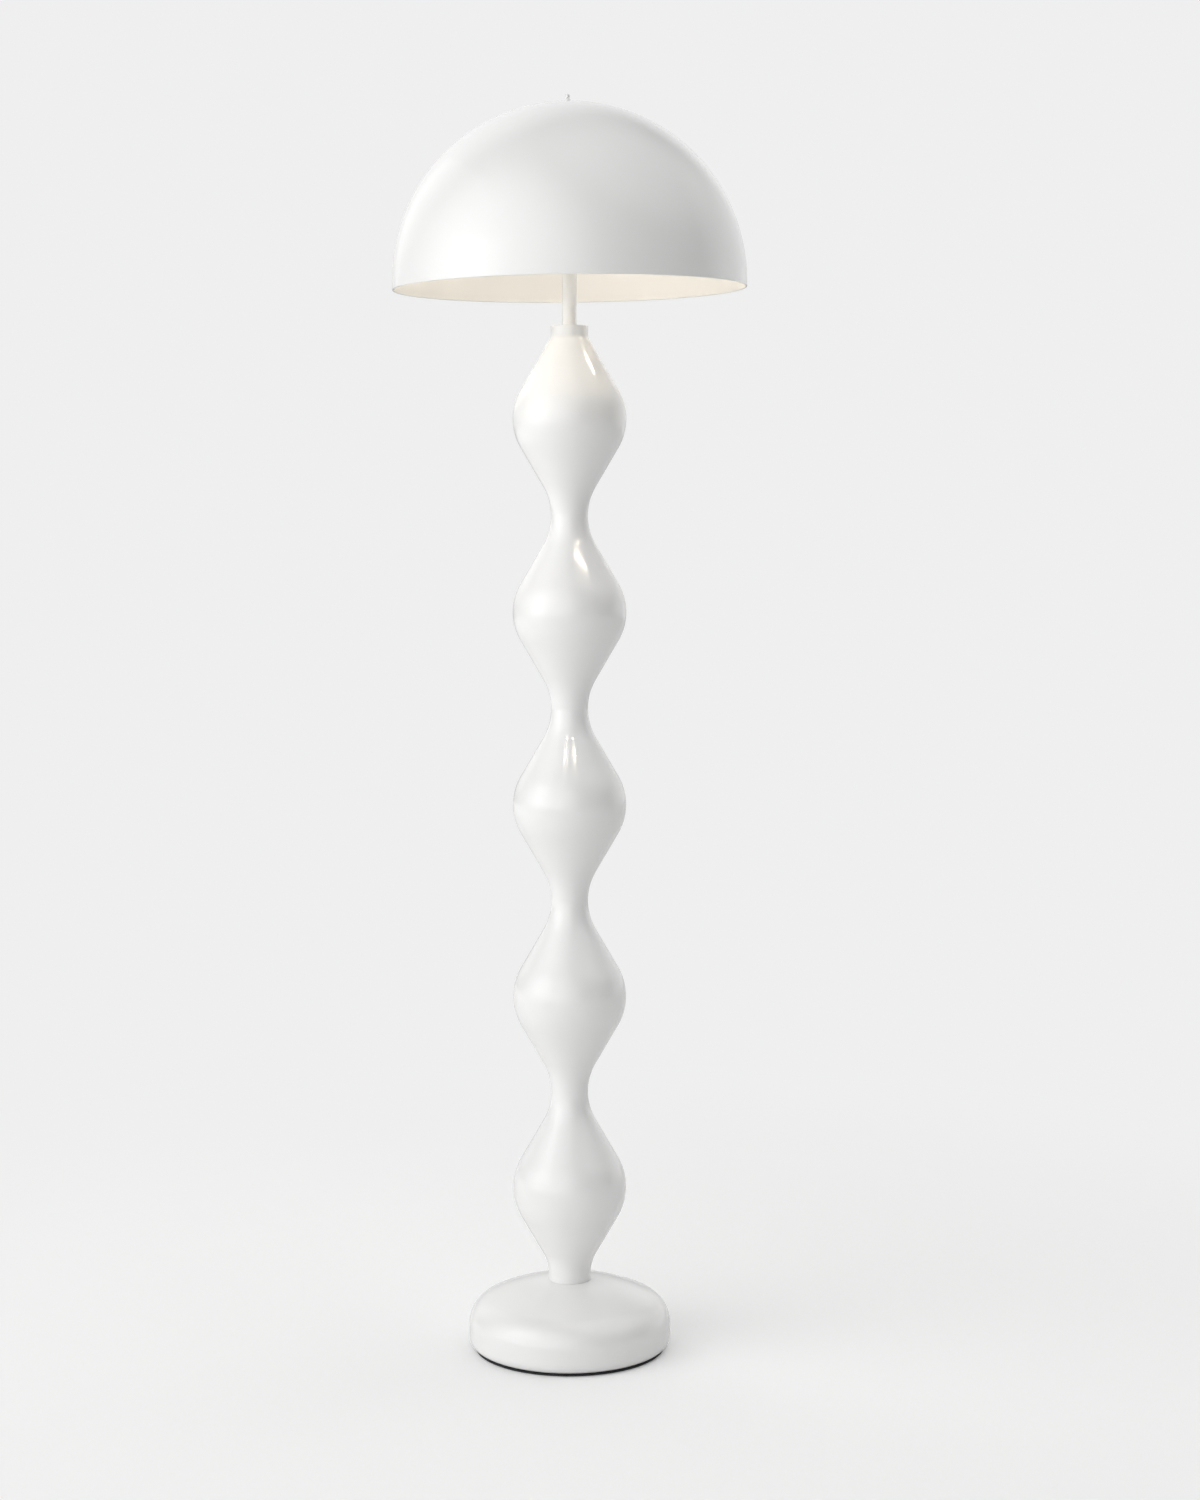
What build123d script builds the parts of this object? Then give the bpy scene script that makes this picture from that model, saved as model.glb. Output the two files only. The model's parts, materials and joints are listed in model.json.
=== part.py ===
from build123d import *
import os
from math import acos, atan2, cos, degrees, hypot, radians, sin, sqrt, tan

os.makedirs("parts", exist_ok=True)

# A mushroom floor lamp: a domed weighted base, a column of five stacked spun
# bulbs on one threaded centre rod, and a dome shade carried on a harp over the
# lamp-holder. Millimetres, +Z up, the origin on the floor under the base.

# ---- Fits and gaps ----
seat_gap = 0.3  # between pieces that move on each other
slip_gap = 0.1  # radial, where a fixed piece slips inside or over another
screw_gap = 0.05  # radial, round the finial's screw

# ---- Base ----
base_radius = 116.5
crown_height = 80.0  # top of the base's dome, above the floor
shoulder_radius = 34.0
shoulder_start = 28.0  # height where the upright side turns into the shoulder
edge_roll = 12.0  # radius of the edge that rolls in over the pad
edge_turn = 75.0  # how far round the edge rolls, in degrees
base_wall = 1.5
pad_inset = 7.0  # the pad is this much smaller than the base all round
pad_thickness = 2.0
lip_gap = 0.3  # between the pad and the rolled edge
plate_inset = 10.5
plate_thickness = 1.5
plate_opening = 25.0  # radius of the hole that leaves the nut in reach
plate_screw_inset = 32.0  # from the edge of the ballast to each screw
plate_screw_radius = 2.0
plate_screw_head = 4.0
plate_screw_length = 12.0
plate_screw_count = 3
ballast_inset = 14.5  # leaves room for the cord behind the shell
ballast_thickness = 30.0
ballast_round = 4.0
recess_radius = 24.0  # pocket under the ballast for the nut
recess_depth = 20.0
cord_channel_width = 12.0
cord_channel_depth = 11.0
spacer_radius = 14.0
spacer_wall = 2.5

# ---- Cord inlet at the back of the base ----
inlet_bore = 3.6
inlet_barrel = 5.6
inlet_flange = 8.5
inlet_flange_thickness = 1.8
inlet_tail = 3.0  # how far the barrel reaches in behind the shell
inlet_above_roll = 10.0

# ---- Centre rod and what it clamps ----
rod_radius = 5.0
rod_bore = 3.6
rod_below_nut = 2.0
washer_radius = 16.0
washer_thickness = 2.0
lock_washer_radius = 8.6
lock_washer_thickness = 2.2
lock_washer_slot = 1.6
nut_across_flats = 17.0
nut_height = 8.0

# ---- Column of bulbs ----
bulb_count = 5
bulb_pitch = 222.0
bulge_radius = 65.3
neck_radius = 21.3
neck_arc = 66.0  # radius of the hollow curve through each neck
foot_radius = 24.5
foot_arc = 45.0
foot_upright = 7.96  # straight wall under the foot's hollow curve
collar_radius = 21.5
collar_arc = 12.0
collar_upright = 7.42  # straight wall above the collar's hollow curve
column_wall = 1.2
bush_length = 24.0
bush_rim = 2.4
bush_hub = 4.0
bush_web = 5.0
foot_plate_thickness = 4.0
cap_thickness = 3.0
cap_spigot = 9.0
cap_edge = 0.8

# ---- Stem between the column and the harp saddle ----
stem_radius = 8.3
stem_wall = 1.2
stem_length = 64.0  # visible above the collar
stem_socket = 1.5  # how deep the stem sits in the collar's cap

# ---- Harp ----
saddle_thickness = 2.0
saddle_width = 10.0
saddle_eye = 9.5  # radius of the round middle that the rod passes through
saddle_reach = 31.0  # from the middle to the centre of each upright arm
saddle_shoulder = 7.0  # height of the wide part of each arm
arm_width = 4.4
arm_height = 17.0  # above the saddle's underside
wire_radius = 1.6
harp_height = 181.5  # from the saddle up to the middle of the top wire
harp_half_width = 56.0
harp_straight = 42.0  # the leg above the arm, which the ferrule slides up on
harp_top_flat = 24.0
ferrule_radius = 4.4
ferrule_bore = 3.1
ferrule_throat = 2.1
ferrule_length = 20.0
ferrule_crown = 3.0
boss_radius = 5.0
boss_flange = 9.0
boss_roof = 1.2  # metal between the wire and the screw's hole
boss_flange_thickness = 2.0
boss_pilot = 4.0
shade_lean = 0.7  # degrees: the shade hangs a little out of true, right side up

# ---- Lamp-holder ----
holder_radius = 16.0
holder_wall = 0.7
holder_cap_height = 15.0
holder_neck = 8.0
holder_neck_height = 5.0
holder_hub_height = 9.0
holder_lap = 3.0  # how far the cap laps over the shell
holder_length = 50.0
core_height = 22.0
liner_wall = 0.6
screw_shell_radius = 13.9
screw_shell_wall = 0.4
screw_shell_length = 23.0
screw_shell_opening = 8.0
contact_width = 6.0
contact_thickness = 0.5
contact_rise = 2.4
switch_height = 12.0  # of the knob's shaft above the bottom of the core
switch_shaft = 1.6
switch_collar = 4.2
switch_collar_length = 5.0
knob_radius = 6.0
knob_length = 13.0
knob_grooves = 16
knob_groove_radius = 0.7

# ---- Light bulb ----
lamp_cap_radius = 13.0
lamp_cap_length = 24.0
lamp_tip_radius = 4.5
lamp_tip_height = 2.5
glass_radius = 30.0
glass_length = 82.0
glass_neck = 13.0
glass_wall = 0.8

# ---- Shade and finial ----
shade_radius = 203.0
shade_skirt = 9.6  # upright wall below the half sphere
shade_wall = 1.2
hem_length = 5.0
hem_thickness = 2.2
rest_radius = 17.0
rest_thickness = 1.5
finial_foot = 9.5
finial_foot_edge = 0.6
finial_neck = 2.1
finial_flare = 4.4
finial_ball = 2.75
finial_height = 9.6
finial_screw = 2.0

# ---- Heights that follow from the sizes above ----
crown_arc = (
    (base_radius - shoulder_radius) ** 2
    + (crown_height - shoulder_start) ** 2
    - shoulder_radius**2
) / (2 * (crown_height - shoulder_start - shoulder_radius))


def crown_drop(radius):
    """How far the base's crown has fallen at this distance from its middle."""
    return crown_arc - sqrt(crown_arc**2 - radius**2)


pad_radius = base_radius - pad_inset
plate_radius = base_radius - plate_inset
ballast_radius = base_radius - ballast_inset
plate_screw_circle = ballast_radius - plate_screw_inset
plate_bottom = pad_thickness
ballast_bottom = plate_bottom + plate_thickness
ballast_top = ballast_bottom + ballast_thickness
recess_top = ballast_bottom + recess_depth
washer_bottom = recess_top - washer_thickness
lock_washer_bottom = washer_bottom - lock_washer_thickness
nut_bottom = lock_washer_bottom - nut_height
roll_height = pad_thickness + lip_gap + edge_roll
inlet_height = roll_height + inlet_above_roll

# The bulbs' flanks are straight and touch both the bulge and the neck's curve.
flank = atan2(bulb_pitch / 2, neck_radius + neck_arc) - acos(
    (bulge_radius + neck_arc) / hypot(neck_radius + neck_arc, bulb_pitch / 2)
)
flank_degrees = degrees(flank)


def arc_start(end_radius, end_arc):
    """The height of an end's curve that keeps the flank at the same slope."""
    return (bulge_radius + end_arc - (end_radius + end_arc) * cos(flank)) / sin(flank)


foot_arc_height = arc_start(foot_radius, foot_arc)
foot_length = foot_arc_height + foot_upright
collar_arc_height = arc_start(collar_radius, collar_arc)
collar_length = collar_arc_height + collar_upright

column_foot = crown_height - crown_drop(foot_radius - column_wall)
first_bulge = column_foot + foot_length
last_bulge = first_bulge + (bulb_count - 1) * bulb_pitch
cap_bottom = last_bulge + collar_length
collar_top = cap_bottom + cap_thickness
stem_bottom = collar_top - stem_socket
saddle_bottom = collar_top + stem_length
holder_bottom = saddle_bottom + saddle_thickness
rod_bottom = nut_bottom - rod_below_nut
core_bottom = holder_bottom + holder_cap_height
core_top = core_bottom + core_height
lamp_tip = core_top + contact_thickness + contact_rise + seat_gap
lamp_cap_bottom = lamp_tip + lamp_tip_height
glass_bottom = lamp_cap_bottom + lamp_cap_length
rod_top = holder_bottom + holder_hub_height
arm_top = saddle_bottom + arm_height
ferrule_bottom = saddle_bottom + saddle_shoulder + seat_gap

# Everything that the harp's wire carries leans with it about the wire's feet.
# Its profiles lie on lean_profile, as distance from the leaning axis and
# height above the feet, and the wire itself on lean_side.
lean_right = (cos(radians(shade_lean)), 0, sin(radians(shade_lean)))
lean_up = (-sin(radians(shade_lean)), 0, cos(radians(shade_lean)))
lean_foot = (0, 0, arm_top)
lean_profile = Plane(origin=lean_foot, x_dir=lean_right, z_dir=(0, -1, 0))
lean_side = Plane(origin=lean_foot, x_dir=(0, 1, 0), z_dir=lean_right)
lean_floor = Plane(origin=lean_foot, x_dir=lean_right, z_dir=lean_up)
lean_axis = Axis(lean_foot, lean_up)

wire_top = harp_height - arm_height
boss_flange_bottom = wire_top + wire_radius + slip_gap + boss_roof
boss_flange_top = boss_flange_bottom + boss_flange_thickness
rest_bottom = boss_flange_top + seat_gap
rest_top = rest_bottom + rest_thickness
shade_inside = shade_radius - shade_wall
shade_centre = rest_top + slip_gap - sqrt(shade_inside**2 - rest_radius**2)
shade_top = shade_centre + shade_radius
shade_rim = shade_centre - shade_skirt
pilot_top = shade_top - seat_gap
finial_bottom = shade_top + seat_gap


# ---- Base pieces ----
with BuildPart() as floor_pad:
    with BuildSketch():
        Circle(pad_radius)
    extrude(amount=pad_thickness)
    chamfer(floor_pad.faces().sort_by(Axis.Z)[0].edges(), 0.5)
floor_pad.part.label = "floor_pad"
export_step(floor_pad.part, "parts/floor_pad.step")

with BuildPart() as base_plate:
    with BuildSketch(Plane.XY.offset(plate_bottom)):
        Circle(plate_radius)
        Circle(plate_opening, mode=Mode.SUBTRACT)
    extrude(amount=plate_thickness)
    with BuildSketch(Plane.XY.offset(plate_bottom)):
        with PolarLocations(plate_screw_circle, plate_screw_count):
            Circle(plate_screw_head)
    extrude(amount=plate_thickness, mode=Mode.SUBTRACT)
base_plate.part.label = "base_plate"
export_step(base_plate.part, "parts/base_plate.step")

with BuildPart() as ballast:
    with BuildSketch(Plane.XY.offset(ballast_bottom)):
        Circle(ballast_radius)
    extrude(amount=ballast_thickness)
    fillet(ballast.faces().sort_by(Axis.Z)[-1].edges(), ballast_round)
    with BuildSketch(Plane.XY.offset(ballast_bottom)):
        Circle(recess_radius)
    extrude(amount=recess_depth, mode=Mode.SUBTRACT)
    with BuildSketch(Plane.XY.offset(ballast_bottom)):
        with Locations((0, ballast_radius / 2)):
            Rectangle(cord_channel_width, ballast_radius)
    extrude(amount=cord_channel_depth, mode=Mode.SUBTRACT)
    with BuildSketch(Plane.XY.offset(ballast_bottom)):
        with PolarLocations(plate_screw_circle, plate_screw_count):
            Circle(plate_screw_radius + slip_gap)
    extrude(amount=plate_screw_length, mode=Mode.SUBTRACT)
    with BuildSketch(Plane.XY.offset(recess_top)):
        Circle(rod_radius + slip_gap)
    extrude(amount=ballast_thickness - recess_depth, mode=Mode.SUBTRACT)
ballast.part.label = "ballast"
export_step(ballast.part, "parts/ballast.step")

with BuildPart() as plate_screw:
    with BuildSketch(Plane.XZ):
        with BuildLine():
            head = plate_screw_head - slip_gap
            Polyline(
                (0, plate_bottom + slip_gap),
                (head, plate_bottom + slip_gap),
                (head, ballast_bottom - slip_gap),
                (plate_screw_radius, ballast_bottom - slip_gap),
                (plate_screw_radius, ballast_bottom + plate_screw_length - slip_gap),
                (0, ballast_bottom + plate_screw_length - slip_gap),
                close=True,
            )
        make_face()
    revolve(axis=Axis.Z)
with BuildPart() as plate_screws:
    with PolarLocations(plate_screw_circle, plate_screw_count):
        add(plate_screw.part)
plate_screws.part.label = "plate_screws"
export_step(plate_screws.part, "parts/plate_screws.step")


def base_outline(inset):
    """The base's dome, side and rolled edge, this far inside its outer skin."""
    crown_centre = crown_height - crown_arc
    shoulder_reach = base_radius - shoulder_radius
    crown_end = degrees(atan2(shoulder_start - crown_centre, shoulder_reach))
    CenterArc((0, crown_centre), crown_arc - inset, 90, crown_end - 90)
    CenterArc((shoulder_reach, shoulder_start), shoulder_radius - inset, crown_end, -crown_end)
    Line((base_radius - inset, shoulder_start), (base_radius - inset, roll_height))
    return CenterArc((base_radius - edge_roll, roll_height), edge_roll - inset, 0, -edge_turn)


with BuildPart() as base_shell:
    with BuildSketch(Plane.XZ):
        with BuildLine():
            outer = base_outline(0)
            inner = base_outline(base_wall)
            Line(outer @ 1, inner @ 1)
            Line((0, crown_height), (0, crown_height - base_wall))
        make_face()
    revolve(axis=Axis.Z)
    with BuildSketch(Plane.XY.offset(crown_height)):
        Circle(rod_radius + slip_gap)
    extrude(amount=-2 * base_wall, mode=Mode.SUBTRACT)
    with BuildSketch(Plane.XZ.offset(-base_radius)):
        with Locations((0, inlet_height)):
            Circle(inlet_barrel + slip_gap)
    extrude(amount=2 * base_wall, both=True, mode=Mode.SUBTRACT)
base_shell.part.label = "base_shell"
export_step(base_shell.part, "parts/base_shell.step")

spacer_top = crown_height - base_wall - crown_drop(spacer_radius)
with BuildPart() as base_spacer:
    with BuildSketch(Plane.XY.offset(ballast_top)):
        Circle(spacer_radius)
        Circle(spacer_radius - spacer_wall, mode=Mode.SUBTRACT)
    extrude(amount=spacer_top - ballast_top)
base_spacer.part.label = "base_spacer"
export_step(base_spacer.part, "parts/base_spacer.step")

inlet_face = Plane(origin=(0, base_radius, inlet_height), z_dir=(0, 1, 0))
with BuildPart() as cord_grommet:
    with BuildSketch(inlet_face):
        Circle(inlet_flange)
    extrude(amount=inlet_flange_thickness)
    fillet(cord_grommet.faces().sort_by(Axis.Y)[-1].edges(), inlet_flange_thickness / 2)
    with BuildSketch(inlet_face):
        Circle(inlet_barrel)
    extrude(amount=-(base_wall + inlet_tail))
    with BuildSketch(inlet_face.offset(inlet_flange_thickness)):
        Circle(inlet_bore)
    extrude(
        amount=-(inlet_flange_thickness + base_wall + inlet_tail), mode=Mode.SUBTRACT
    )
cord_grommet.part.label = "cord_grommet"
export_step(cord_grommet.part, "parts/cord_grommet.step")

# ---- Fasteners on the lower end of the rod, and the rod ----
with BuildPart() as base_washer:
    with BuildSketch(Plane.XY.offset(washer_bottom)):
        Circle(washer_radius)
        Circle(rod_radius + slip_gap, mode=Mode.SUBTRACT)
    extrude(amount=washer_thickness)
base_washer.part.label = "base_washer"
export_step(base_washer.part, "parts/base_washer.step")

with BuildPart() as lock_washer:
    with BuildSketch(Plane.XY.offset(lock_washer_bottom)):
        Circle(lock_washer_radius)
        Circle(rod_radius + slip_gap, mode=Mode.SUBTRACT)
        with Locations((lock_washer_radius, 0)):
            Rectangle(lock_washer_radius, lock_washer_slot, mode=Mode.SUBTRACT)
    extrude(amount=lock_washer_thickness)
lock_washer.part.label = "lock_washer"
export_step(lock_washer.part, "parts/lock_washer.step")

with BuildPart() as base_nut:
    with BuildSketch(Plane.XY.offset(nut_bottom)):
        RegularPolygon(nut_across_flats / 2, 6, major_radius=False)
        Circle(rod_radius + slip_gap, mode=Mode.SUBTRACT)
    extrude(amount=nut_height)
base_nut.part.label = "base_nut"
export_step(base_nut.part, "parts/base_nut.step")

with BuildPart() as centre_rod:
    with BuildSketch(Plane.XY.offset(rod_bottom)):
        Circle(rod_radius)
        Circle(rod_bore, mode=Mode.SUBTRACT)
    extrude(amount=rod_top - rod_bottom)
centre_rod.part.label = "centre_rod"
export_step(centre_rod.part, "parts/centre_rod.step")


# ---- Column ----
def half_outline(inset, end_radius, end_arc, arc_height, end_height):
    """A bulb's skin from its widest ring up to its end, this far inside it."""
    bulge = CenterArc((0, 0), bulge_radius - inset, 0, flank_degrees)
    arc_middle = (end_radius + end_arc, arc_height)
    hollow = CenterArc(arc_middle, end_arc + inset, 180 + flank_degrees, -flank_degrees)
    Line(bulge @ 1, hollow @ 0)
    if end_height > arc_height:
        Line(hollow @ 1, (end_radius - inset, end_height))


def half_bulb(end_radius, end_arc, arc_height, end_height):
    """The upper half of a hollow bulb, standing on Z = 0."""
    with BuildPart() as half:
        with BuildSketch(Plane.XZ):
            with BuildLine():
                half_outline(0, end_radius, end_arc, arc_height, end_height)
                half_outline(column_wall, end_radius, end_arc, arc_height, end_height)
                Line((bulge_radius, 0), (bulge_radius - column_wall, 0))
                Line((end_radius, end_height), (end_radius - column_wall, end_height))
            make_face()
        revolve(axis=Axis.Z)
    return half.part


foot_end = (foot_radius, foot_arc, foot_arc_height, foot_length)
neck_end = (neck_radius, neck_arc, bulb_pitch / 2, bulb_pitch / 2)
collar_end = (collar_radius, collar_arc, collar_arc_height, collar_length)

for number in range(1, bulb_count + 1):
    lower_half = half_bulb(*(foot_end if number == 1 else neck_end))
    upper_half = half_bulb(*(collar_end if number == bulb_count else neck_end))
    with BuildPart() as column_bulb:
        with Locations((0, 0, first_bulge + (number - 1) * bulb_pitch)):
            add(upper_half)
            add(lower_half, rotation=(180, 0, 0))
    column_bulb.part.label = f"column_bulb_{number}"
    export_step(column_bulb.part, f"parts/column_bulb_{number}.step")

# Each neck is centred on the rod by a bush with a rim, a web and a hub.
for number in range(1, bulb_count):
    neck_height = first_bulge + (number - 0.5) * bulb_pitch
    bush_radius = neck_radius - column_wall - slip_gap
    with BuildPart() as neck_bush:
        with BuildSketch(Plane.XY.offset(neck_height - bush_length / 2)):
            Circle(bush_radius)
            Circle(rod_radius + slip_gap, mode=Mode.SUBTRACT)
        extrude(amount=bush_length)
        pocket_depth = (bush_length - bush_web) / 2
        for face_height in (neck_height - bush_length / 2, neck_height + bush_web / 2):
            with BuildSketch(Plane.XY.offset(face_height)):
                Circle(bush_radius - bush_rim)
                Circle(rod_radius + bush_hub, mode=Mode.SUBTRACT)
            extrude(amount=pocket_depth, mode=Mode.SUBTRACT)
    neck_bush.part.label = f"neck_bush_{number}"
    export_step(neck_bush.part, f"parts/neck_bush_{number}.step")

with BuildPart() as foot_plate:
    with BuildSketch(Plane.XY.offset(crown_height)):
        Circle(foot_radius - column_wall - slip_gap)
        Circle(rod_radius + slip_gap, mode=Mode.SUBTRACT)
    extrude(amount=foot_plate_thickness)
foot_plate.part.label = "foot_plate"
export_step(foot_plate.part, "parts/foot_plate.step")

with BuildPart() as collar_cap:
    with BuildSketch(Plane.XY.offset(cap_bottom)):
        Circle(collar_radius)
    extrude(amount=cap_thickness)
    fillet(collar_cap.faces().sort_by(Axis.Z)[-1].edges(), cap_edge)
    with BuildSketch(Plane.XY.offset(cap_bottom)):
        Circle(collar_radius - column_wall - slip_gap)
        Circle(collar_radius - column_wall - bush_rim, mode=Mode.SUBTRACT)
    extrude(amount=-cap_spigot)
    with BuildSketch(Plane.XY.offset(stem_bottom)):
        Circle(stem_radius + slip_gap)
    extrude(amount=stem_socket, mode=Mode.SUBTRACT)
    with BuildSketch(Plane.XY.offset(cap_bottom)):
        Circle(rod_radius + slip_gap)
    extrude(amount=cap_thickness, mode=Mode.SUBTRACT)
collar_cap.part.label = "collar_cap"
export_step(collar_cap.part, "parts/collar_cap.step")

with BuildPart() as stem_tube:
    with BuildSketch(Plane.XY.offset(stem_bottom)):
        Circle(stem_radius)
        Circle(stem_radius - stem_wall, mode=Mode.SUBTRACT)
    extrude(amount=saddle_bottom - stem_bottom)
stem_tube.part.label = "stem_tube"
export_step(stem_tube.part, "parts/stem_tube.step")

# ---- Harp ----
with BuildPart() as harp_saddle:
    with BuildSketch(Plane.YZ):
        with BuildLine():
            outer_reach = saddle_reach + saddle_thickness / 2
            inner_reach = saddle_reach - saddle_thickness / 2
            Polyline(
                (-outer_reach, arm_top - slip_gap),
                (-outer_reach, saddle_bottom),
                (outer_reach, saddle_bottom),
                (outer_reach, arm_top - slip_gap),
                (inner_reach, arm_top - slip_gap),
                (inner_reach, holder_bottom),
                (-inner_reach, holder_bottom),
                (-inner_reach, arm_top - slip_gap),
                close=True,
            )
        make_face()
    extrude(amount=saddle_width / 2, both=True)
    shoulder_height = saddle_bottom + saddle_shoulder
    with BuildSketch(Plane.XZ):
        side = (saddle_width + arm_width) / 4
        with Locations((-side, shoulder_height), (side, shoulder_height)):
            Rectangle(
                (saddle_width - arm_width) / 2,
                arm_height,
                align=(Align.CENTER, Align.MIN),
            )
    extrude(amount=2 * saddle_reach, both=True, mode=Mode.SUBTRACT)
    with BuildSketch(Plane.XY.offset(saddle_bottom)):
        Circle(saddle_eye)
    extrude(amount=saddle_thickness)
    with BuildSketch(Plane.XY.offset(saddle_bottom)):
        Circle(rod_radius + slip_gap)
    extrude(amount=saddle_thickness, mode=Mode.SUBTRACT)
harp_saddle.part.label = "harp_saddle"
export_step(harp_saddle.part, "parts/harp_saddle.step")

# The wire rises straight from the saddle's arms, bows out round the light bulb
# and closes over it. Each corner's round is as large as its two runs allow.
harp_leg = [
    (saddle_reach, slip_gap),
    (saddle_reach, harp_straight),
    (harp_half_width, 0.5 * wire_top),
    (0.9 * harp_half_width, 0.8 * wire_top),
    (harp_top_flat, wire_top),
]
harp_route = harp_leg + [(-across, up) for across, up in reversed(harp_leg)]
harp_rounds = []
for before, corner, after in zip(harp_route, harp_route[1:], harp_route[2:]):
    run_in = Vector(*corner) - Vector(*before)
    run_out = Vector(*after) - Vector(*corner)
    half_turn = radians(run_in.get_angle(run_out)) / 2
    harp_rounds.append(0.45 * min(run_in.length, run_out.length) / tan(half_turn))

with BuildPart() as harp:
    with BuildLine(lean_side) as harp_wire:
        FilletPolyline(*harp_route, radius=harp_rounds)
    with BuildSketch(lean_floor.offset(slip_gap)):
        with Locations((0, saddle_reach)):
            Circle(wire_radius)
    sweep(path=harp_wire.line)
harp.part.label = "harp"
export_step(harp.part, "parts/harp.step")

# The boss is crimped on the wire's top. Its pilot centres the shade, and the
# finial's screw goes down into it.
with BuildPart() as harp_boss:
    with BuildSketch(lean_profile):
        with BuildLine():
            Polyline(
                (0, wire_top - boss_radius),
                (boss_radius, wire_top - boss_radius),
                (boss_radius, boss_flange_bottom),
                (boss_flange, boss_flange_bottom),
                (boss_flange, boss_flange_top),
                (boss_pilot, boss_flange_top),
                (boss_pilot, pilot_top),
                (0, pilot_top),
                close=True,
            )
        make_face()
    revolve(axis=lean_axis)
    with BuildSketch(lean_floor.offset(pilot_top)):
        Circle(finial_screw + screw_gap)
    extrude(amount=boss_flange_bottom - pilot_top, mode=Mode.SUBTRACT)
    with BuildSketch(lean_profile):
        with Locations((0, wire_top)):
            Circle(wire_radius + slip_gap)
    extrude(amount=boss_flange, both=True, mode=Mode.SUBTRACT)
harp_boss.part.label = "harp_boss"
export_step(harp_boss.part, "parts/harp_boss.step")

for side_name, side in (("front", -1), ("back", 1)):
    with BuildPart() as harp_ferrule:
        ferrule_place = (0, side * saddle_reach)
        with BuildSketch(Plane.XY.offset(ferrule_bottom)):
            with Locations(ferrule_place):
                Circle(ferrule_radius)
        extrude(amount=ferrule_length)
        fillet(harp_ferrule.faces().sort_by(Axis.Z)[-1].edges(), ferrule_crown / 3)
        with BuildSketch(Plane.XY.offset(ferrule_bottom)):
            with Locations(ferrule_place):
                Circle(ferrule_bore)
        extrude(amount=ferrule_length - ferrule_crown, mode=Mode.SUBTRACT)
        with BuildSketch(Plane.XY.offset(ferrule_bottom)):
            with Locations(ferrule_place):
                Circle(ferrule_throat)
        extrude(amount=ferrule_length, mode=Mode.SUBTRACT)
    harp_ferrule.part.label = f"harp_ferrule_{side_name}"
    export_step(harp_ferrule.part, f"parts/harp_ferrule_{side_name}.step")

# ---- Lamp-holder ----
cap_skin = holder_radius + slip_gap
cap_lip = core_bottom + holder_lap
cup_bottom = holder_bottom + holder_neck_height
with BuildPart() as lampholder_cap:
    with BuildSketch(Plane.XZ):
        with BuildLine():
            Polyline(
                (rod_radius + slip_gap, holder_bottom),
                (holder_neck, holder_bottom),
                (holder_neck, cup_bottom),
                (cap_skin + holder_wall, core_bottom - holder_lap),
                (cap_skin + holder_wall, cap_lip),
                (cap_skin, cap_lip),
                (cap_skin, core_bottom - 2 * slip_gap),
                (holder_neck + holder_wall, holder_bottom + holder_hub_height),
                (rod_radius + slip_gap, holder_bottom + holder_hub_height),
                close=True,
            )
        make_face()
    revolve(axis=Axis.Z)
lampholder_cap.part.label = "lampholder_cap"
export_step(lampholder_cap.part, "parts/lampholder_cap.step")

switch_axis = Plane(origin=(0, 0, core_bottom + switch_height), z_dir=(1, 0, 0))
liner_radius = holder_radius - holder_wall - slip_gap
core_radius = liner_radius - liner_wall - slip_gap
collar_end_x = holder_radius + switch_collar_length

with BuildPart() as lampholder_shell:
    with BuildSketch(Plane.XY.offset(core_bottom)):
        Circle(holder_radius)
        Circle(holder_radius - holder_wall, mode=Mode.SUBTRACT)
    extrude(amount=holder_length)
    with BuildSketch(switch_axis):
        Circle(switch_collar + slip_gap)
    extrude(amount=collar_end_x, mode=Mode.SUBTRACT)
lampholder_shell.part.label = "lampholder_shell"
export_step(lampholder_shell.part, "parts/lampholder_shell.step")

with BuildPart() as lampholder_liner:
    with BuildSketch(Plane.XY.offset(core_bottom)):
        Circle(liner_radius)
        Circle(liner_radius - liner_wall, mode=Mode.SUBTRACT)
    extrude(amount=holder_length - holder_wall)
    with BuildSketch(switch_axis):
        Circle(switch_collar + slip_gap)
    extrude(amount=collar_end_x, mode=Mode.SUBTRACT)
lampholder_liner.part.label = "lampholder_liner"
export_step(lampholder_liner.part, "parts/lampholder_liner.step")

with BuildPart() as lampholder_core:
    with BuildSketch(Plane.XY.offset(core_bottom)):
        Circle(core_radius)
    extrude(amount=core_height)
    with BuildSketch(switch_axis):
        Circle(switch_collar)
    extrude(amount=collar_end_x)
    with BuildSketch(switch_axis):
        Circle(switch_shaft + seat_gap)
    extrude(amount=collar_end_x, mode=Mode.SUBTRACT)
lampholder_core.part.label = "lampholder_core"
export_step(lampholder_core.part, "parts/lampholder_core.step")

with BuildPart() as screw_shell:
    with BuildSketch(Plane.XY.offset(core_top)):
        Circle(screw_shell_radius)
    extrude(amount=screw_shell_length)
    with BuildSketch(Plane.XY.offset(core_top + screw_shell_wall)):
        Circle(screw_shell_radius - screw_shell_wall)
    extrude(amount=screw_shell_length, mode=Mode.SUBTRACT)
    with BuildSketch(Plane.XY.offset(core_top)):
        Circle(screw_shell_opening)
    extrude(amount=screw_shell_wall, mode=Mode.SUBTRACT)
screw_shell.part.label = "screw_shell"
export_step(screw_shell.part, "parts/screw_shell.step")

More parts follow.
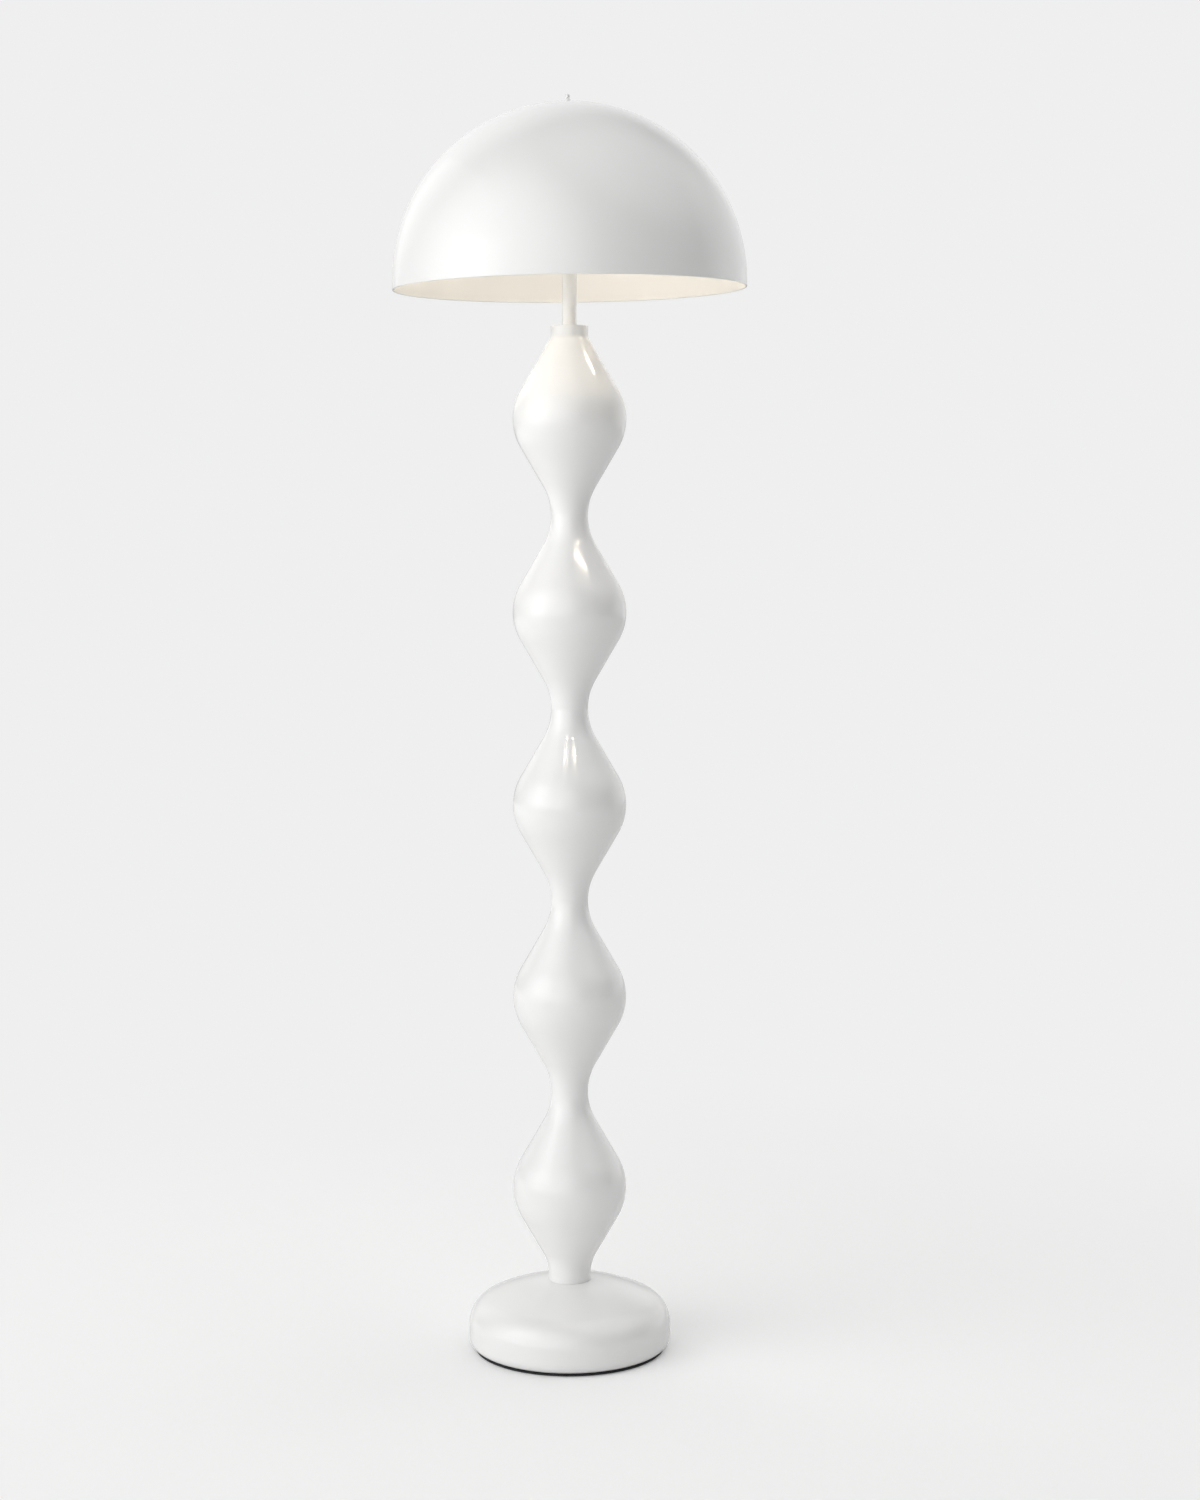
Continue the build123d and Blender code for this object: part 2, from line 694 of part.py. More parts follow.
# A springy brass strip: a foot on the core, a ramp and a raised end.
contact_top = core_top + contact_rise
with BuildPart() as centre_contact:
    with BuildSketch(Plane.XZ):
        with BuildLine():
            Polyline(
                (-contact_width, core_top),
                (-contact_rise, core_top),
                (0, contact_top),
                (contact_rise, contact_top),
                (contact_rise, contact_top + contact_thickness),
                (-contact_thickness, contact_top + contact_thickness),
                (-contact_rise - contact_thickness, core_top + contact_thickness),
                (-contact_width, core_top + contact_thickness),
                close=True,
            )
        make_face()
    extrude(amount=contact_width / 2, both=True)
centre_contact.part.label = "centre_contact"
export_step(centre_contact.part, "parts/centre_contact.step")

with BuildPart() as switch_knob:
    with BuildSketch(switch_axis.offset(collar_end_x + seat_gap)):
        Circle(knob_radius)
        with PolarLocations(knob_radius, knob_grooves):
            Circle(knob_groove_radius, mode=Mode.SUBTRACT)
    extrude(amount=knob_length)
    with BuildSketch(switch_axis.offset(seat_gap)):
        Circle(switch_shaft)
    extrude(amount=collar_end_x + knob_length / 2)
switch_knob.part.label = "switch_knob"
export_step(switch_knob.part, "parts/switch_knob.step")

# ---- Light bulb ----
with BuildPart() as light_bulb_cap:
    with BuildSketch(Plane.XZ):
        with BuildLine():
            Polyline(
                (0, lamp_tip),
                (lamp_tip_radius, lamp_tip),
                (lamp_cap_radius - lamp_tip_height, lamp_cap_bottom),
                (lamp_cap_radius, lamp_cap_bottom + lamp_tip_height),
                (lamp_cap_radius, glass_bottom),
                (0, glass_bottom),
                close=True,
            )
        make_face()
    revolve(axis=Axis.Z)
light_bulb_cap.part.label = "light_bulb_cap"
export_step(light_bulb_cap.part, "parts/light_bulb_cap.step")

# A ball on a straight cone that touches it and narrows to the neck.
ball_height = glass_length - glass_radius
cone_touch = acos(glass_radius / hypot(glass_neck, ball_height)) - atan2(ball_height, glass_neck)
with BuildPart() as light_bulb_glass:
    with BuildSketch(Plane.XZ):
        with BuildLine():
            ball_middle = (0, glass_bottom + ball_height)
            ball = CenterArc(ball_middle, glass_radius, 90, degrees(cone_touch) - 90)
            Line(ball @ 1, (glass_neck, glass_bottom))
            Line((glass_neck, glass_bottom), (0, glass_bottom))
            Line((0, glass_bottom), (0, glass_bottom + glass_length))
        make_face()
    revolve(axis=Axis.Z)
    neck_face = light_bulb_glass.faces().sort_by(Axis.Z)[0]
    offset(amount=-glass_wall, openings=neck_face)
light_bulb_glass.part.label = "light_bulb_glass"
export_step(light_bulb_glass.part, "parts/light_bulb_glass.step")

# ---- Shade and finial, all leaning with the harp ----
with BuildPart() as shade_rest:
    with BuildSketch(lean_floor.offset(rest_bottom)):
        Circle(rest_radius)
        Circle(boss_pilot + seat_gap, mode=Mode.SUBTRACT)
    extrude(amount=rest_thickness)
shade_rest.part.label = "shade_rest"
export_step(shade_rest.part, "parts/shade_rest.step")

# A half sphere on a short upright skirt, with its edge hemmed to the inside.
with BuildPart() as shade:
    with BuildSketch(lean_profile):
        with BuildLine():
            hem_round = hem_thickness / 2
            hem_inside = shade_radius - hem_thickness
            hem_top = shade_rim + hem_length
            skin = CenterArc((0, shade_centre), shade_radius, 0, 90)
            lining = CenterArc((0, shade_centre), shade_inside, 0, 90)
            Line(skin @ 1, lining @ 1)
            Line(skin @ 0, (shade_radius, shade_rim + hem_round))
            CenterArc((shade_radius - hem_round, shade_rim + hem_round), hem_round, 0, -180)
            Polyline(
                (hem_inside, shade_rim + hem_round),
                (hem_inside, hem_top),
                (shade_inside, hem_top),
                lining @ 0,
            )
        make_face()
    revolve(axis=lean_axis)
    with BuildSketch(lean_floor.offset(shade_top)):
        Circle(boss_pilot + seat_gap)
    extrude(amount=-2 * shade_wall, mode=Mode.SUBTRACT)
shade.part.label = "shade"
export_step(shade.part, "parts/shade.step")

# A small ball on a flared foot, with a screw that clamps the shade.
with BuildPart() as finial:
    with BuildSketch(lean_profile):
        with BuildLine():
            ball_middle = finial_bottom + finial_height - finial_ball
            ball_foot = degrees(acos(finial_neck / finial_ball))
            ball = CenterArc((0, ball_middle), finial_ball, 90, -90 - ball_foot)
            flare_top = (finial_neck, finial_bottom + finial_flare)
            foot_edge = (finial_foot, finial_bottom + finial_foot_edge)
            Line(ball @ 1, flare_top)
            TangentArc(foot_edge, flare_top, tangent=(-1, 0))
            Polyline(
                foot_edge,
                (finial_foot, finial_bottom),
                (finial_screw, finial_bottom),
                (finial_screw, boss_flange_bottom + seat_gap),
                (0, boss_flange_bottom + seat_gap),
                ball @ 0,
            )
        make_face()
    revolve(axis=lean_axis)
finial.part.label = "finial"
export_step(finial.part, "parts/finial.step")
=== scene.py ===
# %% [markdown]
# # Dressing a mushroom floor lamp
#
# The lamp arrives as a finished construction: forty separate pieces, each with
# its own solid and its place. This lesson gives every piece its surface, adds
# the small forms that are too fine for the construction, such as rolled
# threads, and lights the lamp in a small studio. Everything is in metres, with
# the floor at Z = 0 and the front of the lamp towards -Y.

# %% Load the lamp
import json
from math import atan, cos, pi, radians, sin

import bmesh
import bpy
from mathutils import Matrix, Vector


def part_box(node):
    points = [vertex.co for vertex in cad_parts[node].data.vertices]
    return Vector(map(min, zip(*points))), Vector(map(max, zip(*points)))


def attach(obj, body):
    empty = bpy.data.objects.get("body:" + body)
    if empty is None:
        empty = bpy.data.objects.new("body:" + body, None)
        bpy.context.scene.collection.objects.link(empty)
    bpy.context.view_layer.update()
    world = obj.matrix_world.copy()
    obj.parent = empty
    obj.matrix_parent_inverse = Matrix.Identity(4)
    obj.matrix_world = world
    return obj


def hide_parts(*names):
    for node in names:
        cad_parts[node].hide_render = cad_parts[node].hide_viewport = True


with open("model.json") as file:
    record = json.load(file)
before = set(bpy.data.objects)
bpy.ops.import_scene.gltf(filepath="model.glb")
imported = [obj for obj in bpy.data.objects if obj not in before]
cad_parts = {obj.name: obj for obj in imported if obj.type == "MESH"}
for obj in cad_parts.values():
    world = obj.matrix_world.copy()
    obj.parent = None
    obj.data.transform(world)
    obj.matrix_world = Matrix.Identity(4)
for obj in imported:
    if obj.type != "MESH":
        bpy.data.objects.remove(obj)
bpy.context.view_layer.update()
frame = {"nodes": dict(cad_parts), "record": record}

parts = frame["nodes"]
print("pieces loaded:", len(parts))

# %% [markdown]
# ## The camera
#
# A tall, narrow product is photographed from far away with a long lens, at
# about the middle of its height, so that its column stays upright and the
# shade shows a little of its inside. The lens could be tilted down to bring
# the base into the frame, but then the column would lean. A product camera
# slides its lens instead. Here most of the framing comes from such a slide,
# the shift, and a small tilt does the rest.

# %% Set up the camera
photo_width, photo_height = 1200, 1500
focal_pixels = 2638
camera_reach = 3.032
camera_height = 0.977
camera_tilt = radians(2.084)
camera_turn = radians(0.663)
slide_pixels = 150

lens = bpy.data.cameras.new("product_camera")
lens.sensor_width = 36
lens.lens = focal_pixels * lens.sensor_width / photo_height
lens.shift_y = -slide_pixels / photo_height
lens.clip_end = 60
camera = bpy.data.objects.new("product_camera", lens)
camera.location = (0, -camera_reach, camera_height)
camera.rotation_euler = (pi / 2 - camera_tilt, 0, -camera_turn)
bpy.context.scene.collection.objects.link(camera)
bpy.context.scene.camera = camera
print("lens", round(lens.lens, 2), "mm, shift", round(lens.shift_y, 3))

# %% [markdown]
# ## Colours and nodes
#
# Paint charts give a colour as it looks on a screen, and Blender mixes light
# in linear values, so one function turns the first into the second. A second
# function adds a node to a material and sets its sockets in one line, which
# keeps each finish short enough to read at a glance. Blender's colour mix has
# several sockets of the same name, so the three that are used go by number.

# %% Helpers for materials
first_colour, second_colour, mixed = 6, 7, 2


def paint(code):
    """A screen colour such as 'F2F1EE' as the linear values that light uses."""
    channels = [int(code[i:i + 2], 16) / 255 for i in (0, 2, 4)]
    return tuple(c / 12.92 if c <= 0.04045 else ((c + 0.055) / 1.055) ** 2.4 for c in channels) + (1,)


def add_node(tree, kind, sockets=None, **settings):
    """Adds a node, gives it its settings, and sets or links its sockets."""
    node = tree.nodes.new(kind)
    for name, value in settings.items():
        setattr(node, name, value)
    for name, value in (sockets or {}).items():
        if isinstance(value, bpy.types.NodeSocket):
            tree.links.new(value, node.inputs[name])
        else:
            node.inputs[name].default_value = value
    return node


def start_finish(name):
    """An empty material with its output node, and the piece's own coordinates."""
    finish = bpy.data.materials.new(name)
    finish.use_nodes = True
    tree = finish.node_tree
    tree.nodes.clear()
    place = add_node(tree, "ShaderNodeTexCoord").outputs["Object"]
    return finish, tree, place


def end_finish(tree, shader):
    """Joins the last shader to the material's output."""
    add_node(tree, "ShaderNodeOutputMaterial", {"Surface": shader})


lacquer_white = "F2F2F1"
print("white lacquer in linear light:", tuple(round(v, 3) for v in paint(lacquer_white)[:3]))

# %% [markdown]
# ## White lacquer
#
# The base, the column, the stem and the shade are spun or turned metal with a
# baked gloss coat. A gloss coat isn't a perfect mirror: as it levels in the
# oven it keeps a very shallow waviness, called orange peel, about two
# millimetres from crest to crest, and the odd speck of dust lies under it. It
# could be one white with a low roughness, but that looks like plastic. Here
# one noise tips the surface by a hair, a wider one lets the gloss vary, and a
# third shifts the white by less than the eye can name.

# %% Make the lacquer
drift_per_metre = 9.0
cloud_per_metre = 26.0
peel_per_metre = 420.0  # 2.4 mm from crest to crest
specks_per_metre = 60.0  # about 17 mm from one to the next
speck_height = 0.15


def lacquer_surface(tree, place, white, shade_of_white, gloss, satin, peel):
    """The lacquer's shader: its white, its gloss and its orange peel."""
    drift = add_node(tree, "ShaderNodeTexNoise", {"Vector": place, "Scale": drift_per_metre, "Detail": 3.0})
    tone = add_node(tree, "ShaderNodeMix", {
        "Factor": drift.outputs["Fac"], first_colour: paint(white),
        second_colour: paint(shade_of_white)}, data_type="RGBA")
    cloud = add_node(tree, "ShaderNodeTexNoise", {"Vector": place, "Scale": cloud_per_metre, "Detail": 4.0})
    sheen = add_node(tree, "ShaderNodeMapRange", {
        "Value": cloud.outputs["Fac"], "From Min": 0.3, "From Max": 0.7, "To Min": gloss, "To Max": satin})
    waves = add_node(tree, "ShaderNodeTexNoise", {"Vector": place, "Scale": peel_per_metre, "Detail": 1.0})
    specks = add_node(tree, "ShaderNodeTexVoronoi", {"Vector": place, "Scale": specks_per_metre})
    nib = add_node(tree, "ShaderNodeMapRange", {
        "Value": specks.outputs["Distance"], "From Min": 0.0, "From Max": 0.035, "To Min": 1.0, "To Max": 0.0})
    height = add_node(tree, "ShaderNodeMath", {
        0: nib.outputs["Result"], 1: speck_height, 2: waves.outputs["Fac"]}, operation="MULTIPLY_ADD")
    skin = add_node(tree, "ShaderNodeBump", {
        "Height": height.outputs["Value"], "Strength": peel, "Distance": 0.0003})
    return add_node(tree, "ShaderNodeBsdfPrincipled", {
        "Base Color": tone.outputs[mixed], "Roughness": sheen.outputs["Result"],
        "Normal": skin.outputs["Normal"], "IOR": 1.5,
        "Coat Weight": 0.3, "Coat Roughness": 0.05}).outputs["BSDF"]


white_lacquer, tree, place = start_finish("white_lacquer")
end_finish(tree, lacquer_surface(tree, place, lacquer_white, "EFEFEE", gloss=0.13, satin=0.19, peel=0.05))
print("made", white_lacquer.name)

# %% [markdown]
# ## The shade's lining
#
# The shade is lacquered outside and in. Inside, the coat has a satin gloss,
# which spreads the light of the bulb and hides its mirror image, and a darker,
# warmer white, which is painted shade and painted warm bulb light inside the
# dome. Both finishes sit on one solid. They could be split by choosing faces,
# but the solid may be cut again later. The material asks instead how far a
# point lies from the middle of the dome: the lining is nearer than the outer
# skin.

# %% Make the two-sided lacquer of the shade
skin_depth = 0.0009
shade_low, shade_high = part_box("shade")
dome_radius = (shade_high.y - shade_low.y) / 2
dome_middle = Vector(((shade_low.x + shade_high.x) / 2, 0, shade_high.z - dome_radius))

shade_lacquer, tree, place = start_finish("shade_lacquer")
outside = lacquer_surface(tree, place, lacquer_white, "EFEFEE", gloss=0.13, satin=0.19, peel=0.05)
# Painted shade: the lining's white is darker and warmer than the outside's, standing in for the shade and the
# bulb's warm light inside the dome.
shaded_lining = lacquer_surface(tree, place, "E6E4DF", "E3E1DC", gloss=0.30, satin=0.38, peel=0.12)
from_middle = add_node(tree, "ShaderNodeVectorMath", {0: place, 1: dome_middle}, operation="DISTANCE")
is_outside = add_node(tree, "ShaderNodeMath", {
    0: from_middle.outputs["Value"], 1: dome_radius - skin_depth}, operation="GREATER_THAN")
both = add_node(tree, "ShaderNodeMixShader", {0: is_outside.outputs["Value"], 1: shaded_lining, 2: outside})
end_finish(tree, both.outputs["Shader"])
print("dome radius", round(dome_radius, 4), "middle", tuple(round(v, 4) for v in dome_middle))

# %% [markdown]
# ## Metals
#
# Inside the lamp are bare metals: yellow brass for the harp and the
# lamp-holder, zinc-plated steel for the rod and its fasteners, aluminium for
# the light bulb's cap and cast iron for the weight. What tells them apart is
# colour and the mark of how they were made. Drawn wire and turned shells keep
# fine lines round their axis, plating is cloudy, and castings are grainy. One
# function makes the drawn and plated ones from a stretched noise. Its broadest
# lines are 0.4 to 1.1 millimetres apart, and finer ones lie between them.

# %% Make the metals
def drawn_metal(name, bright, dull, shine, rub, lines_per_metre, line_depth):
    """A bare metal with fine lines round Z and a cloudy tarnish."""
    finish, tree, place = start_finish(name)
    cloud = add_node(tree, "ShaderNodeTexNoise", {"Vector": place, "Scale": 70.0, "Detail": 5.0})
    tone = add_node(tree, "ShaderNodeMix", {
        "Factor": cloud.outputs["Fac"], first_colour: paint(bright),
        second_colour: paint(dull)}, data_type="RGBA")
    stretched = add_node(tree, "ShaderNodeMapping", {"Vector": place, "Scale": (30.0, 30.0, lines_per_metre)})
    lines = add_node(tree, "ShaderNodeTexNoise", {
        "Vector": stretched.outputs["Vector"], "Scale": 1.0, "Detail": 4.0})
    worn = add_node(tree, "ShaderNodeMapRange", {
        "Value": lines.outputs["Fac"], "From Min": 0.3, "From Max": 0.7, "To Min": shine, "To Max": rub})
    skin = add_node(tree, "ShaderNodeBump", {
        "Height": lines.outputs["Fac"], "Strength": line_depth, "Distance": 0.0002})
    metal = add_node(tree, "ShaderNodeBsdfPrincipled", {
        "Base Color": tone.outputs[mixed], "Roughness": worn.outputs["Result"],
        "Normal": skin.outputs["Normal"], "Metallic": 1.0})
    end_finish(tree, metal.outputs["BSDF"])
    return finish


brass = drawn_metal(
    "brass", "E4CD93", "D2B679", shine=0.17, rub=0.27, lines_per_metre=2600.0, line_depth=0.04)
zinc_steel = drawn_metal(
    "zinc_steel", "CFD0CD", "B3B4B0", shine=0.26, rub=0.42, lines_per_metre=900.0, line_depth=0.10)
aluminium = drawn_metal(
    "aluminium", "DADBDC", "C4C5C8", shine=0.24, rub=0.38, lines_per_metre=2200.0, line_depth=0.08)
print("made", brass.name, zinc_steel.name, aluminium.name)

# %% [markdown]
# ## Cast iron
#
# The weight in the base is sand-cast iron with a coat of thin black paint. The
# sand leaves a grain of a millimetre and finer, and the paint wears to grey on
# the high spots. A bump from two noises gives the grain, and the same noise,
# sharpened, chooses where the paint has rubbed through.

# %% Make the cast iron
cast_iron, tree, place = start_finish("cast_iron")
sand = add_node(tree, "ShaderNodeTexNoise", {"Vector": place, "Scale": 900.0, "Detail": 6.0, "Roughness": 0.7})
swell = add_node(tree, "ShaderNodeTexNoise", {"Vector": place, "Scale": 60.0, "Detail": 3.0})
relief = add_node(tree, "ShaderNodeMath", {
    0: swell.outputs["Fac"], 1: 1.5, 2: sand.outputs["Fac"]}, operation="MULTIPLY_ADD")
bare = add_node(tree, "ShaderNodeMapRange", {
    "Value": relief.outputs["Value"], "From Min": 1.3, "From Max": 1.7, "To Min": 0.0, "To Max": 1.0})
tone = add_node(tree, "ShaderNodeMix", {
    "Factor": bare.outputs["Result"], first_colour: paint("2C2C2E"),
    second_colour: paint("4A4A4B")}, data_type="RGBA")
skin = add_node(tree, "ShaderNodeBump", {
    "Height": relief.outputs["Value"], "Strength": 0.7, "Distance": 0.0006})
iron = add_node(tree, "ShaderNodeBsdfPrincipled", {
    "Base Color": tone.outputs[mixed], "Roughness": 0.62, "Normal": skin.outputs["Normal"], "Metallic": 0.0})
end_finish(tree, iron.outputs["BSDF"])
print("made", cast_iron.name)

# %% [markdown]
# ## The pad, the plastics and the liner
#
# Under the base lies a disc of dark foam rubber, with closed cells about half a
# millimetre wide that are cut open at its face. The cord's inlet is moulded in
# white plastic with a fine spark-eroded grain, the bushes in natural nylon, and
# the switch and the holder's core in glossy black phenolic. The liner is a
# sleeve of pressed brown fibre. They share one recipe, which is a colour with
# some drift, a grain and a gloss, so one function makes them all.

# %% Make the moulded and pressed materials
def grained(name, colour, drift_colour, shine, grains_per_metre, grain_depth, cells=False):
    """A moulded, foamed or pressed material with a fine even grain."""
    finish, tree, place = start_finish(name)
    drift = add_node(tree, "ShaderNodeTexNoise", {"Vector": place, "Scale": 45.0, "Detail": 4.0})
    tone = add_node(tree, "ShaderNodeMix", {
        "Factor": drift.outputs["Fac"], first_colour: paint(colour),
        second_colour: paint(drift_colour)}, data_type="RGBA")
    if cells:
        cell = add_node(tree, "ShaderNodeTexVoronoi", {"Vector": place, "Scale": grains_per_metre})
        grain = cell.outputs["Distance"]
    else:
        noise = add_node(tree, "ShaderNodeTexNoise", {
            "Vector": place, "Scale": grains_per_metre, "Detail": 4.0})
        grain = noise.outputs["Fac"]
    skin = add_node(tree, "ShaderNodeBump", {"Height": grain, "Strength": grain_depth, "Distance": 0.0003})
    worn = add_node(tree, "ShaderNodeMapRange", {
        "Value": drift.outputs["Fac"], "From Min": 0.3, "From Max": 0.7,
        "To Min": shine, "To Max": shine + 0.1})
    body = add_node(tree, "ShaderNodeBsdfPrincipled", {
        "Base Color": tone.outputs[mixed], "Roughness": worn.outputs["Result"],
        "Normal": skin.outputs["Normal"]})
    end_finish(tree, body.outputs["BSDF"])
    return finish


foam_rubber = grained("foam_rubber", "232325", "2B2B2D", 0.8, 1800.0, 0.6, cells=True)
white_plastic = grained("white_plastic", "EEEEEC", "E9E9E6", 0.38, 2400.0, 0.18)
nylon = grained("nylon", "E6E2D4", "DDD8C8", 0.45, 1500.0, 0.2)
fibre = grained("fibre_liner", "8A7358", "766149", 0.78, 2000.0, 0.5)
phenolic = grained("black_phenolic", "1B1918", "211E1C", 0.18, 700.0, 0.08)
print("made", foam_rubber.name, white_plastic.name, nylon.name, fibre.name, phenolic.name)

# %% [markdown]
# ## The lit bulb
#
# The light bulb is a frosted globe over warm diodes. Frosting scatters the
# light, so the globe looks evenly bright, and it is dimmer in the neck that
# the diodes don't reach. A clear bulb with a filament would throw hard shadows
# that a lamp of this kind doesn't show. The glow is set on the glass itself,
# and so it lights the lining, the stem and the top of the column.

# %% Make the lit glass
glass_low, glass_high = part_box("light_bulb_glass")
glow_strength = 15.5
dim_neck, neck_share = 0.03, 0.25

lit_glass, tree, place = start_finish("lit_glass")
height = add_node(tree, "ShaderNodeSeparateXYZ", {"Vector": place})
rise = add_node(tree, "ShaderNodeMapRange", {
    "Value": height.outputs["Z"], "From Min": glass_low.z, "From Max": glass_low.z + dim_neck,
    "To Min": neck_share, "To Max": 1.0})
glow = add_node(tree, "ShaderNodeMath", {0: rise.outputs["Result"], 1: glow_strength}, operation="MULTIPLY")
frost = add_node(tree, "ShaderNodeTexNoise", {"Vector": place, "Scale": 1500.0, "Detail": 2.0})
skin = add_node(tree, "ShaderNodeBump", {"Height": frost.outputs["Fac"], "Strength": 0.1, "Distance": 0.0001})
globe = add_node(tree, "ShaderNodeBsdfPrincipled", {
    "Base Color": paint("F7F2E8"), "Roughness": 0.32, "Normal": skin.outputs["Normal"],
    "Emission Color": paint("FFF7EE"), "Emission Strength": glow.outputs["Value"]})
end_finish(tree, globe.outputs["BSDF"])
print("glass from", round(glass_low.z, 4), "to", round(glass_high.z, 4))

# %% [markdown]
# ## Giving each piece its finish
#
# Each piece of the construction keeps its shape and only takes a finish. The
# record of the lamp already says what each piece is made of, so the finishes
# are handed out from that list instead of a second one kept by hand.

# %% Assign the finishes
finishes = {
    "white_lacquer": white_lacquer, "black_pad": foam_rubber,
    "cast_iron": cast_iron, "zinc_steel": zinc_steel,
    "white_plastic": white_plastic, "nylon": nylon, "brass": brass, "fibre_liner": fibre,
    "black_phenolic": phenolic, "aluminium": aluminium, "lit_glass": lit_glass,
}
slot_of = {piece["node"]: piece["material_slot"] for piece in frame["record"]["subparts"]}


def give_finish(piece, finish):
    """Puts one finish on every slot of a piece."""
    if not piece.data.materials:
        piece.data.materials.append(finish)
    for index in range(len(piece.data.materials)):
        piece.data.materials[index] = finish


for name, piece in parts.items():
    give_finish(piece, shade_lacquer if name == "shade" else finishes[slot_of[name]])
print("finishes given to", len(parts), "pieces")

# %% [markdown]
# ## The light bulb's rolled thread
#
# The cap of a light bulb is a thin aluminium sleeve, and its thread isn't cut.
# Two rollers press a soft round wave into it, about 3.6 millimetres from crest
# to crest. The construction keeps the cap as a plain turned shape, which is
# enough to check its fit. For the picture a flat net is bent round into the
# cap's outline, its seam is merged, and the wave climbs by one crest for each
# turn. It fades at both ends, as the rollers leave a plain band there.

# %% Roll the thread
cap_low, cap_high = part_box("light_bulb_cap")
cap_radius = (cap_high.x - cap_low.x) / 2
tip_radius, tip_height = 0.0045, 0.0025
thread_pitch, thread_depth, thread_run_out = 0.00363, 0.0009, 0.0015
plain_band = 0.004
thread_low, thread_high = cap_low.z + 2 * tip_height, cap_high.z - plain_band
turn_steps = 96
seam_gap = 1e-6
sharp_from = radians(35)
outline = [
    # steps from the tip, radius, height
    (0, 0.0, cap_low.z),
    (4, tip_radius, cap_low.z),
    (10, cap_radius - tip_height, cap_low.z + tip_height),
    (14, cap_radius, cap_low.z + 2 * tip_height),
    (106, cap_radius, cap_high.z),
    (110, 0.0, cap_high.z),
]
outline_steps = outline[-1][0]


def on_outline(step):
    """The cap's radius and height after so many steps along its outline."""
    for (begin, radius, height), (end, next_radius, next_height) in zip(outline, outline[1:]):
        if step <= end:
            part = (step - begin) / (end - begin)
            return radius + (next_radius - radius) * part, height + (next_height - height) * part


def thread_wave(height, turn):
    """How far the thread's wave is pressed in at a height and a part of a turn."""
    room_left = min(height - thread_low, thread_high - height) / thread_run_out
    strength = min(max(room_left, 0.0), 1.0)
    return strength * thread_depth * (0.5 - 0.5 * cos(2 * pi * (height / thread_pitch - turn)))


thread_mesh = bpy.data.meshes.new("light_bulb_thread")
shape = bmesh.new()
bmesh.ops.create_grid(shape, x_segments=turn_steps, y_segments=outline_steps, size=0.5)
for corner in shape.verts:
    turn, step = corner.co.x + 0.5, round((corner.co.y + 0.5) * outline_steps)
    radius, height = on_outline(step)
    radius -= thread_wave(height, turn)
    corner.co = (radius * cos(2 * pi * turn), radius * sin(2 * pi * turn), height)
bmesh.ops.remove_doubles(shape, verts=shape.verts, dist=seam_gap)
bmesh.ops.recalc_face_normals(shape, faces=shape.faces)
for face in shape.faces:
    face.smooth = True
for edge in shape.edges:
    edge.smooth = edge.calc_face_angle(0.0) < sharp_from
open_edges = sum(not edge.is_manifold for edge in shape.edges)
shape.to_mesh(thread_mesh)
shape.free()
thread = bpy.data.objects.new("light_bulb_thread", thread_mesh)
bpy.context.scene.collection.objects.link(thread)
thread_mesh.materials.append(aluminium)
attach(thread, "light_bulb")
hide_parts("light_bulb_cap")
print("thread faces", len(thread_mesh.polygons), "open edges", open_edges)

# %% [markdown]
# ## The studio floor
#
# The lamp stands on a wide pale sweep. Near the lamp the floor is ordinary
# matt paper, which catches the shadow. Further out a real sweep curves up into
# the background, and a camera sees no line between them. A curved wall would
# stand in the way when the lamp is seen from behind, so the floor turns into
# the background's own pale grey with distance instead. The camera also sees
# the paper paler and a touch brighter than the light round the lamp finds it,
# so a clean floor in the picture costs no extra light on the lamp.
# A round hole under the pad lets the pad show its own underside from below.

# %% Lay the floor
backdrop_grey = paint("EFEFEF")
floor_reach = 9.0
floor_drop, hole_margin = 0.0004, 0.002
round_steps = 96
paper_lift = 0.07
fade_from, fade_to = 0.3, 1.5

pad_low, pad_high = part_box("floor_pad")
pad_radius = (pad_high.x - pad_low.x) / 2

floor_mesh = bpy.data.meshes.new("studio_floor")
shape = bmesh.new()
bmesh.ops.create_circle(shape, cap_ends=False, segments=round_steps, radius=floor_reach)
bmesh.ops.create_circle(shape, cap_ends=False, segments=round_steps, radius=pad_radius - hole_margin)
bmesh.ops.bridge_loops(shape, edges=shape.edges[:])
bmesh.ops.recalc_face_normals(shape, faces=shape.faces)
if shape.faces[:][0].normal.z < 0:
    bmesh.ops.reverse_faces(shape, faces=shape.faces)
bmesh.ops.translate(shape, vec=(0, 0, -floor_drop), verts=shape.verts)
shape.to_mesh(floor_mesh)
shape.free()
floor = bpy.data.objects.new("studio_floor", floor_mesh)
bpy.context.scene.collection.objects.link(floor)

sweep, tree, place = start_finish("matt_paper")
seen = add_node(tree, "ShaderNodeLightPath")
tone = add_node(tree, "ShaderNodeMix", {
    "Factor": seen.outputs["Is Camera Ray"], first_colour: paint("F0F0F0"),
    second_colour: paint("FBFBFB")}, data_type="RGBA")
paper = add_node(tree, "ShaderNodeBsdfDiffuse", {"Color": tone.outputs[mixed]})
lift = add_node(tree, "ShaderNodeMath", {
    0: seen.outputs["Is Camera Ray"], 1: paper_lift}, operation="MULTIPLY")
lifted = add_node(tree, "ShaderNodeEmission", {"Strength": lift.outputs["Value"]})
near_paper = add_node(tree, "ShaderNodeAddShader", {0: paper.outputs["BSDF"], 1: lifted.outputs["Emission"]})
far_paper = add_node(tree, "ShaderNodeEmission", {"Color": backdrop_grey})
away = add_node(tree, "ShaderNodeVectorMath", {0: place}, operation="LENGTH")
fade = add_node(tree, "ShaderNodeMapRange", {
    "Value": away.outputs["Value"], "From Min": fade_from, "From Max": fade_to},
    interpolation_type="SMOOTHSTEP")
fade_seen = add_node(tree, "ShaderNodeMath", {
    0: fade.outputs["Result"], 1: seen.outputs["Is Camera Ray"]}, operation="MULTIPLY")
